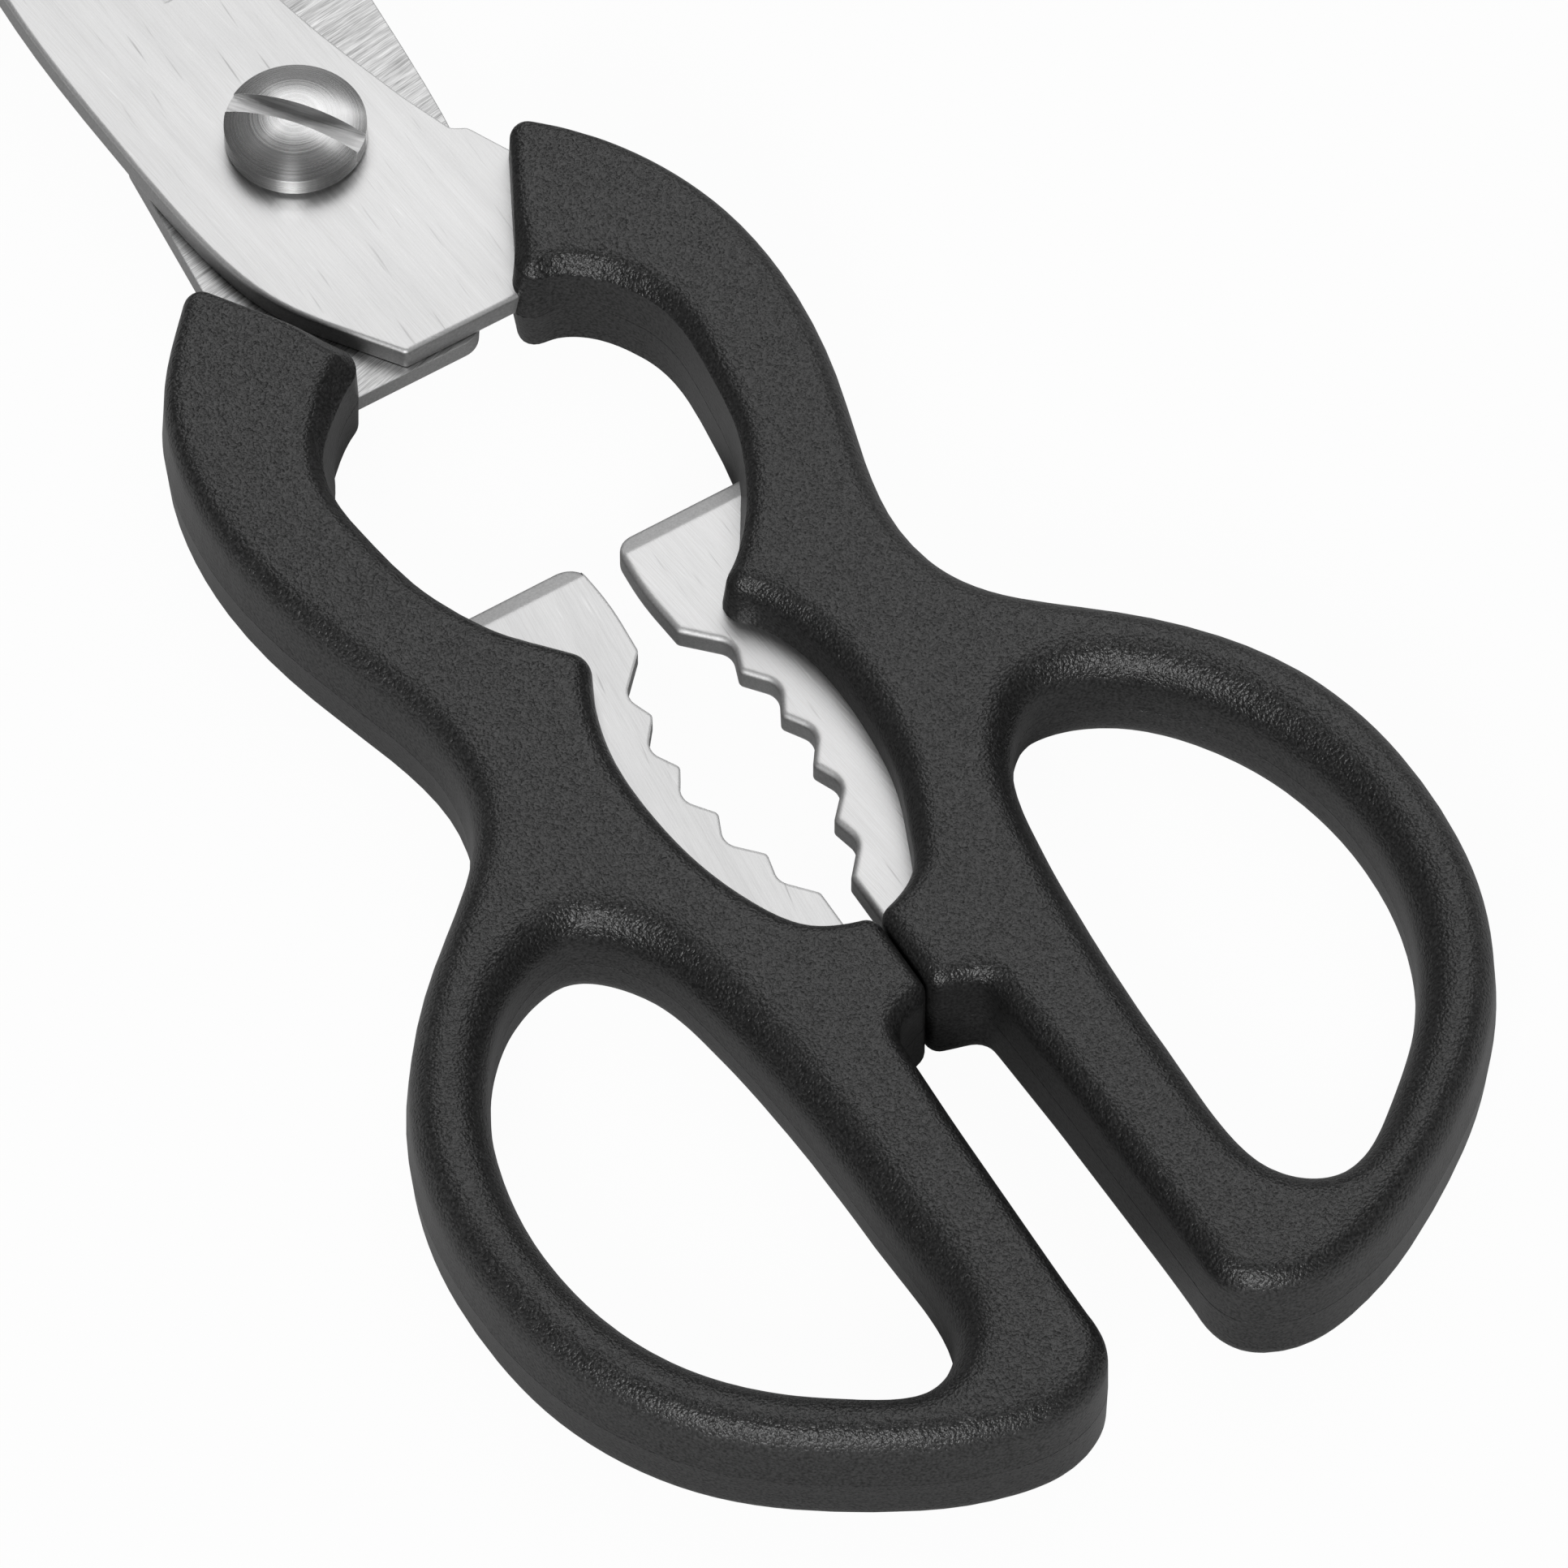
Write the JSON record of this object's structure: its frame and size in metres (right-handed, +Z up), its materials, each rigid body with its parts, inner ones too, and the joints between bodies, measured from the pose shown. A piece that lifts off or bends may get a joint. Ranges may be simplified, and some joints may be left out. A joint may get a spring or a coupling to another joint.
{
  "type": "kitchen shears",
  "caption": "Kitchen shears with two crossed steel blades on a slotted pivot screw, black plastic handles with closed finger loops, and a toothed gripping jaw between the handles.",
  "frame": {"origin": "on the surface that the closed shears lie on, under the middle of their outline", "axes": "+Y points to the blade tips, +X to the handle that carries the upper blade, +Z up out of the surface"},
  "size_m": [0.0832, 0.21, 0.0112],
  "materials": {
    "blade_steel": "fine lengthwise brushing, ground bevel along the edge",
    "jaw_steel": "fine lengthwise brushing, punched edges",
    "handle_plastic": "fine spark-eroded grain, matte",
    "screw_steel": "bright turned steel with fine rings",
    "washer_steel": "plain rolled steel"
  },
  "bodies": {
    "lower_half": {"lower_blade": "blade_steel", "left_handle": "handle_plastic", "left_jaw": "jaw_steel", "pivot_screw": "screw_steel", "head_washer": "washer_steel", "pivot_nut": "screw_steel"},
    "upper_half": {"upper_blade": "blade_steel", "right_handle": "handle_plastic", "right_jaw": "jaw_steel"}
  },
  "joints": [
    {"name": "pivot", "type": "hinge", "parent": "lower_half", "child": "upper_half", "pos_m": [0, 0.0246, 0.0056], "axis": [0, 0, 1], "range_deg": [0, 70]}
  ]
}
